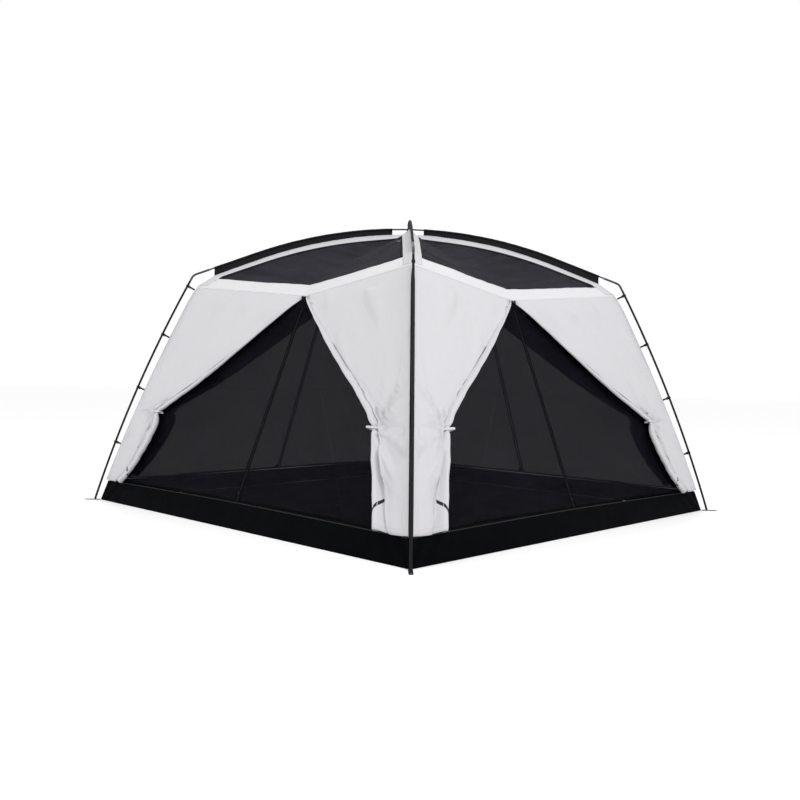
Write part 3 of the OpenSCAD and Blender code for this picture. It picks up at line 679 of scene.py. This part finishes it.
def bathtub(k, wall):
    """Upright black band along one side of the floor, creased towards its corners."""
    q = np.concatenate([np.linspace(-1, -0.86, 26), np.linspace(-0.855, 0.855, 180),
                        np.linspace(0.86, 1, 26)])
    F, Q = np.meshgrid(np.linspace(0, 1, 22), q, indexing="ij")
    low = SIDE / 2 - 0.003
    foot_z = 0.0035
    top_c = BAND_TOP_U / math.sqrt(2)
    bow = (top_c - MID_FOOT_Y) * np.abs(Q) ** 1.5 + MID_FOOT_Y
    y = low + (bow - low) * F
    x = (low + (top_c - low) * F - 0.0015) * Q
    z = foot_z + (BAND_TOP - foot_z) * F
    p = np.stack([x, -y, z], -1)
    end = (1 - np.abs(Q)) * SIDE / 2
    body = np.sin(np.pi * np.clip(F * 0.86 + 0.07, 0, 1)) * np.clip(end / 0.03, 0, 1)
    phase = (end - 0.75 * z) * 2 * math.pi / 0.13 + 0.9 * ripple(x, z, 5, 1, 5, 250 + k)
    diag = np.sin(phase) * np.exp(-end / 0.22)
    long_folds = ripple(0.35 * x, 2.2 * z, 12, 1.2, 7, 230 + k)
    push = np.minimum(body * (0.0062 * long_folds + 0.0048 * diag), 0.009)
    p = p + push[..., None] * np.array([0, -0.9, 0.3])
    uv = np.stack([x, z], -1)
    p, uv = face_out(turn(p, k), uv, turn(np.array([0, -1, 0.2]), k))
    o = grid_object("bathtub_" + wall, p, uv, [MAT["bathtub_cloth"]])
    thicken(o, 0.0012, -1)
    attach(o, "shelter")
    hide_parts("band_" + wall)
    top = p[-1, 2:-2] + np.array([0, 0, 0.0008])
    # Binding along the band's top, in the lighter grey that paints the highlight along it.
    hem = tube_object("bathtub_hem_" + wall, top, 0.0026, MAT["hem_grey"], 8, 0.0003, 240 + k)
    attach(hem, "shelter")


ground_sheet()
for k, wall in enumerate(WALLS):
    bathtub(k, wall)


# ---------------------------------------------------------------- curtains
# Each half is parted, drawn back to a tie on the wall and its spare width rolled up along the free edge.
# Two shapes serve all eight halves. EDGES holds their free edges as read off the photograph: the share of
# the half wall at which the edge lies, at the heights EDGE_T.
TIE_T = 0.36
EAVE_T = 0.998
EDGE_T = [0, 0.1, 0.2, 0.3, 0.36, 0.42, 0.5, 0.6, 0.7, 0.8, 0.9, 0.975, 1]
EDGES = [[0.862, 0.848, 0.830, 0.817, 0.803, 0.765, 0.675, 0.543, 0.408, 0.275, 0.132, 0.020, 0.006],
         [0.848, 0.792, 0.760, 0.750, 0.783, 0.700, 0.585, 0.462, 0.347, 0.232, 0.110, 0.016, 0.006]]
# rows of the panel, as stretches of height with their number of rows; close together at tape and tie
ROWS = [(0, 0.06, 5), (0.067, 0.125, 12), (0.135, 0.33, 12), (0.34, 0.38, 7), (0.395, 0.93, 30),
        (0.94, EAVE_T, 8)]
COLS = 36
ROLL_PITCH = 0.00115  # room that one turn of cloth takes in the roll
ROLL_COLS = 96
# the panel's rise over the roll, both in roll radii: distance from the free edge, and height
CROWN_COLS = 12
CROWN_REACH = 2.4
CROWN = [[0, 0.3, 0.5, 0.7, 0.87, 1.0, 1.3, 1.6, 1.9, CROWN_REACH],
         [2, 1.95, 1.87, 1.71, 1.5, 1.29, 0.8, 0.38, 0.13, 0]]


def lift(t):
    """How far the curtain hangs clear of the wall: a millimetre at the eave seam, more below."""
    return 0.001 + 0.017 * (1 - np.clip((np.asarray(t) - 0.90) / 0.095, 0, 1) ** 2)


def free_edge(t, cut):
    """Share of the half wall at which the free edge lies."""
    return np.interp(t, EDGE_T, EDGES[cut])


def panel_width(e, t):
    """Level width from the free edge to the corner seam."""
    return (SEAM_S - e) * corner_u(t) / math.sqrt(2)


def roll_size(t, cut):
    """Spare cloth square to the free edge, the radius of the roll that holds it, and the sine of the slant.
    The spare width is level, so it is scaled by that sine: the roll then holds the area that was cut."""
    level = free_edge(t, cut) * corner_u(t) / math.sqrt(2)
    fine = np.linspace(0, 1, 401)
    edge = wall_pt(free_edge(fine, cut), fine)
    step = np.diff(edge, axis=0)
    slant = WALL_LEN * np.diff(fine) / np.linalg.norm(step, axis=1)
    slant = np.minimum(np.convolve(np.pad(slant, 10, mode="edge"), np.ones(21) / 21, "valid"), 1)
    slant = np.interp(t, (fine[:-1] + fine[1:]) / 2, slant)
    spare = np.maximum(level * slant, 0.004)
    run = np.interp(t, fine, np.concatenate([[0], np.cumsum(np.linalg.norm(step, axis=1))]))
    tie_at = np.interp(TIE_T, t, run)
    loose = 1 - 0.42 * np.exp(-((run - tie_at) / 0.022) ** 2) + 0.25 * np.exp(-(run / 0.12) ** 2)
    loose += 0.10 * ripple(run, 0 * run, 6, 3, 11, 30 + 10 * cut)
    return spare, np.sqrt(spare * ROLL_PITCH / math.pi) * loose, slant


def curtain_panel(cut):
    """The flat part of one half: rows up the wall, columns from the free edge to the corner seam.
    Its free edge is crowned over the roll that lies behind it."""
    t = np.concatenate([np.linspace(a, b, n) for a, b, n in ROWS])
    _, r, slant = roll_size(t, cut)
    e = free_edge(t, cut)
    wide = panel_width(e, t)
    near = np.minimum(2.5 * r / slant, 0.4 * wide)
    v = np.concatenate([near[:, None] * np.linspace(0, 1, CROWN_COLS + 1)[None, :-1] / wide[:, None],
                        near[:, None] / wide[:, None] + (1 - near / wide)[:, None]
                        * np.linspace(0, 1, COLS - CROWN_COLS)], 1)
    T = t[:, None] + 0 * v
    S = e[:, None] + (SEAM_S - e)[:, None] * v
    crown = 1.04 * r[:, None] * np.interp(CROWN_REACH * v * (wide / near)[:, None], *CROWN)
    return wall_pt(S, T) + (lift(T) + crown)[..., None] * OUT, S, T, v


def sim_cloth(start, end, pins, frames):
    """Cloth object whose pinned points move from start to end over the first half of the frames."""
    me = bpy.data.meshes.new("sim_cloth")
    me.from_pydata(start.reshape(-1, 3).tolist(), [], grid_quads(*start.shape[:2]).tolist())
    o = bpy.data.objects.new("sim_cloth", me)
    bpy.context.scene.collection.objects.link(o)
    o.shape_key_add(name="Basis")
    tied = o.shape_key_add(name="tied")
    tied.data.foreach_set("co", end.reshape(-1).astype(np.float32))
    for frame_no, value in ((1, 0.0), (frames // 2, 1.0)):
        tied.value = value
        tied.keyframe_insert("value", frame=frame_no)
    group = o.vertex_groups.new(name="pin")
    group.add(pins, 1.0, "REPLACE")
    cl = o.modifiers.new("cloth", "CLOTH")
    st = cl.settings
    st.quality = 8
    st.mass = 0.14
    st.tension_stiffness = 30
    st.compression_stiffness = 18
    st.shear_stiffness = 9
    st.bending_stiffness = 0.35
    st.tension_damping = 12
    st.compression_damping = 12
    st.shear_damping = 8
    st.bending_damping = 0.6
    st.air_damping = 2.5
    st.vertex_group_mass = "pin"
    st.pin_stiffness = 1.0
    cc = cl.collision_settings
    cc.use_collision = True
    cc.distance_min = 0.003
    cc.collision_quality = 2
    return o, cl


def sim_wall():
    """Stiff backing for the simulation, in place of the netting and the bathtub band."""
    t = np.concatenate([np.linspace(-0.11, 0, 4), np.linspace(0.05, 1.0, 14)])
    T, S = np.meshgrid(t, np.linspace(-0.05, 1.04, 16), indexing="ij")
    p = wall_pt(S, T) - 0.004 * OUT
    idx = np.arange(p.shape[0] * p.shape[1]).reshape(p.shape[:2])
    quads = np.stack([idx[:-1, :-1], idx[:-1, 1:], idx[1:, 1:], idx[1:, :-1]], -1).reshape(-1, 4)
    if facing(p, OUT):
        quads = quads[:, ::-1]
    me = bpy.data.meshes.new("sim_wall")
    me.from_pydata(p.reshape(-1, 3).tolist(), [], quads.tolist())
    o = bpy.data.objects.new("sim_wall", me)
    bpy.context.scene.collection.objects.link(o)
    o.modifiers.new("collision", "COLLISION")
    o.collision.thickness_outer = 0.003
    o.collision.thickness_inner = 0.05
    o.collision.cloth_friction = 4
    return o


def drape(p, T, V, seed, frames):
    """Hangs the panel with some slack from its eave, corner seam and drawn-back edge by cloth simulation."""
    n, m = p.shape[:2]
    inner = np.clip(V / 0.15, 0, 1) * np.clip((1 - V) / 0.10, 0, 1) * np.clip((EAVE_T - T) / 0.08, 0, 1)
    wave = 0.024 * ripple(1.5 * p[..., 0] + 1.2 * p[..., 2], 0.4 * p[..., 2], 9, 1.2, 5.0, seed)
    start = p + (inner * (wave + 0.022))[..., None] * OUT
    end = start.copy()
    tug = np.exp(-((T[:, 0] - TIE_T) / 0.030) ** 2) * 0.004 + 0.003
    inward = p[:, CROWN_COLS] - p[:, 0]
    inward /= np.linalg.norm(inward, axis=1)[:, None]
    crown = slice(0, CROWN_COLS - 1)
    end[:, crown] = p[:, crown] + (tug[:, None] * inward)[:, None]
    end[-1], end[:, -1] = p[-1], p[:, -1]
    start[-1], start[:, -1], start[:, crown] = p[-1], p[:, -1], p[:, crown]
    idx = np.arange(n * m).reshape(n, m)
    pins = np.unique(np.concatenate([idx[-1], idx[:, -1], idx[:, crown].ravel()])).tolist()
    cloth, cl = sim_cloth(start, end, pins, frames)
    backing = sim_wall()
    sc = bpy.context.scene
    sc.frame_start, sc.frame_end = 1, frames
    cl.point_cache.frame_start, cl.point_cache.frame_end = 1, frames
    for f in range(1, frames + 1):
        sc.frame_set(f)
    ev = cloth.evaluated_get(bpy.context.evaluated_depsgraph_get())
    got = np.zeros(n * m * 3, np.float32)
    ev.to_mesh().vertices.foreach_get("co", got)
    sc.frame_set(1)
    cloth.data.shape_keys.animation_data_clear()
    for x in (cloth, backing):
        bpy.data.objects.remove(x, do_unlink=True)
    return got.astype(float).reshape(n, m, 3)


def tension_folds(panel, S, T, V, cut, seed):
    """Soft folds that fan out from the tie over the hung cloth, fading towards its sewn edges.
    Points that end up too close to the netting are moved out again."""
    at = wall_pt(free_edge(TIE_T, cut), TIE_T)
    dx, dz = panel[..., 0] - at[0], panel[..., 2] - at[2]
    far = np.hypot(dx, dz)
    fan = np.arctan2(dz, dx)
    wander = 0.5 * ripple(dx, dz, 5, 0.6, 2.5, seed)
    size = 0.0115 * np.exp(-far / 0.55) * np.clip(far / 0.10, 0, 1) + 0.0012
    keep = np.clip(V / 0.12, 0, 1) * np.clip((1 - V) / 0.12, 0, 1) * np.clip((EAVE_T - T) / 0.10, 0, 1)
    folds = np.sin(13 * fan + 3 * wander) + 0.5 * np.sin(23 * fan + 5 * wander + seed)
    panel = panel + (keep * size * folds + 0.6 * keep * size)[..., None] * OUT
    over = (panel - wall_pt(S, T)) @ OUT
    return panel + np.maximum(0.8 * lift(T) - over, 0)[..., None] * OUT


def edge_frame(edge, S, T):
    """Directions square to the free edge: towards the corner seam, and away from the wall."""
    along = np.gradient(edge, axis=0)
    along /= np.linalg.norm(along, axis=1)[:, None]
    toward = wall_pt(S[:, 0] + 0.1, T[:, 0]) - wall_pt(S[:, 0], T[:, 0])
    toward -= (toward * along).sum(1)[:, None] * along
    toward /= np.linalg.norm(toward, axis=1)[:, None]
    for _ in range(3):
        toward[1:-1] = (toward[:-2] + toward[1:-1] + toward[2:]) / 3
    toward /= np.linalg.norm(toward, axis=1)[:, None]
    up = np.cross(along, toward)
    up /= np.linalg.norm(up, axis=1)[:, None]
    up[(up @ OUT) < 0] *= -1
    return toward, up


def zip_tape(run, ang, r0, S, T, V):
    """Black zip tape aslant over the roll near its foot, on the roll and on the panel; over 0.5 is tape."""
    foot, half, off = 0.125, 0.010, -0.02
    across = V * panel_width(S[:, 0], T[:, 0])[:, None]
    on_roll = half - np.abs(run[:, None] - foot + ang * r0[:, None])
    on_roll = np.where(ang < 3.2, on_roll, off)
    on_panel = np.where(across < 0.050, half - np.abs(run[:, None] - foot - 1.2 * across), off)
    return [np.clip(0.5 + x / 0.03, 0, 1) for x in (on_roll, on_panel)]


def rolled(panel, S, T, V, cut, seed):
    """Joins the spare width to the panel's free edge as a loose roll behind it, pinched at the tie.
    Returns the whole half and where its zip tape is."""
    edge = panel[:, 0]
    toward, up = edge_frame(edge, S, T)
    spare, r0, _ = roll_size(T[:, 0], cut)
    run = np.concatenate([[0], np.cumsum(np.linalg.norm(np.diff(edge, axis=0), axis=1))])
    turns = spare / (math.pi * r0)
    q = np.linspace(0, 0.985, ROLL_COLS)[None, :]
    ang = 2 * math.pi * turns[:, None] * (1 - np.sqrt(1 - q))
    rad = r0[:, None] * np.sqrt(1 - q)
    seen = ang % (2 * math.pi)
    dents = ripple(run[:, None], 0.35 * seen * r0[:, None], 9, 5, 26, seed + 1)
    rad = rad * (1 + 0.15 * dents * np.clip(seen / 1.2, 0, 1) * np.clip((4.2 - seen) / 1.2, 0, 1))
    mid = edge - r0[:, None] * up
    x = -rad * np.sin(ang)
    y = rad * np.cos(ang)
    roll = mid[:, None] + x[..., None] * toward[:, None] + y[..., None] * up[:, None]
    on_roll, on_panel = zip_tape(run, ang, r0, S, T, V)
    return (np.concatenate([roll[:, ::-1][:, :-1], panel], 1),
            np.concatenate([on_roll[:, ::-1][:, :-1], on_panel], 1))


def hung_half(cut, seed):
    """One half, parted, hung and rolled, with its tape and the heights of its rows."""
    p, S, T, V = curtain_panel(cut)
    hung = drape(p, T, V, seed, 56)
    hung = tension_folds(hung, S, T, V, cut, seed)
    return (*rolled(hung, S, T, V, cut, 10 * seed), T[:, :1] * WALL_LEN)


def curtain(k, wall, side, sg, half):
    p, tape, height = half
    p = p * np.array([sg, 1, 1])
    width = np.linalg.norm(np.diff(p, axis=1), axis=-1)
    U = np.concatenate([np.zeros((len(p), 1)), np.cumsum(width, 1)], 1)
    uv = np.stack([(U - U[:, -1:]) * sg, height + 0 * U], -1)
    p = turn(p, k)
    if not facing(p[:, ROLL_COLS:], turn(OUT, k)):
        p, uv, tape = p[:, ::-1], uv[:, ::-1], tape[:, ::-1]
    o = grid_object(f"curtain_{wall}_{side}", p, uv, [MAT["curtain_cloth"], MAT["curtain_back"]], tape)
    thicken(o, 0.0005, 0, inner=1)
    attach(o, "shelter")
    if sg == 1:
        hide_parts("curtains_" + wall)


HALVES = [hung_half(0, 3), hung_half(1, 4)]
for k, wall in enumerate(WALLS):
    curtain(k, wall, "l", -1, HALVES[(k + 1) % 2])
    curtain(k, wall, "r", 1, HALVES[k % 2])

# ---------------------------------------------------------------- stage, light and camera
FLOOR_HALF, FLOOR_Z = 60, -0.0008
me = bpy.data.meshes.new("studio_floor")
me.from_pydata([(x * FLOOR_HALF, y * FLOOR_HALF, FLOOR_Z) for x, y in ((-1, -1), (1, -1), (1, 1), (-1, 1))],
               [], [(0, 1, 2, 3)])
floor_mat, _, floor_bsdf = new_mat("studio_floor")
floor_bsdf.inputs["Base Color"].default_value = (0.975, 0.975, 0.975, 1)
floor_bsdf.inputs["Roughness"].default_value = 0.9
floor_bsdf.inputs["Specular IOR Level"].default_value = 0.1
me.materials.append(floor_mat)
floor = bpy.data.objects.new("studio_floor", me)
bpy.context.scene.collection.objects.link(floor)

world = bpy.data.worlds.new("studio")
world.use_nodes = True
world.node_tree.nodes["Background"].inputs[0].default_value = (1, 1, 1, 1)
world.node_tree.nodes["Background"].inputs[1].default_value = 1.0
bpy.context.scene.world = world
bpy.context.scene.view_settings.view_transform = "Standard"


def area_light(name, at, look, size, power):
    """Soft rectangular light at a place, turned to look at a point."""
    data = bpy.data.lights.new(name, "AREA")
    data.shape = "RECTANGLE"
    data.size, data.size_y = size
    data.energy = power
    o = bpy.data.objects.new(name, data)
    d = np.array(look, float) - np.array(at, float)
    z = -d / np.linalg.norm(d)
    x = np.cross([0, 0, 1], z)
    x /= np.linalg.norm(x)
    y = np.cross(z, x)
    o.matrix_world = Matrix([[x[i], y[i], z[i], at[i]] for i in range(3)] + [[0, 0, 0, 1]])
    bpy.context.scene.collection.objects.link(o)


area_light("key", (6.5, -3.0, 6.5), (0, 0, 0.8), (3.0, 2.4), 300)
area_light("fill", (-3.5, -7.0, 4.0), (0, 0, 0.8), (4.0, 3.0), 80)

cam = bpy.data.cameras.new("camera")
cam.sensor_width = 36
cam.lens = 39.46
cam.clip_start, cam.clip_end = 0.1, 300
co = bpy.data.objects.new("camera", cam)
co.location = (4.7570, -4.9537, 0.9757)
co.rotation_euler = (math.radians(88.7305), math.radians(-1.1646), math.radians(44.1672))
bpy.context.scene.collection.objects.link(co)
bpy.context.scene.camera = co
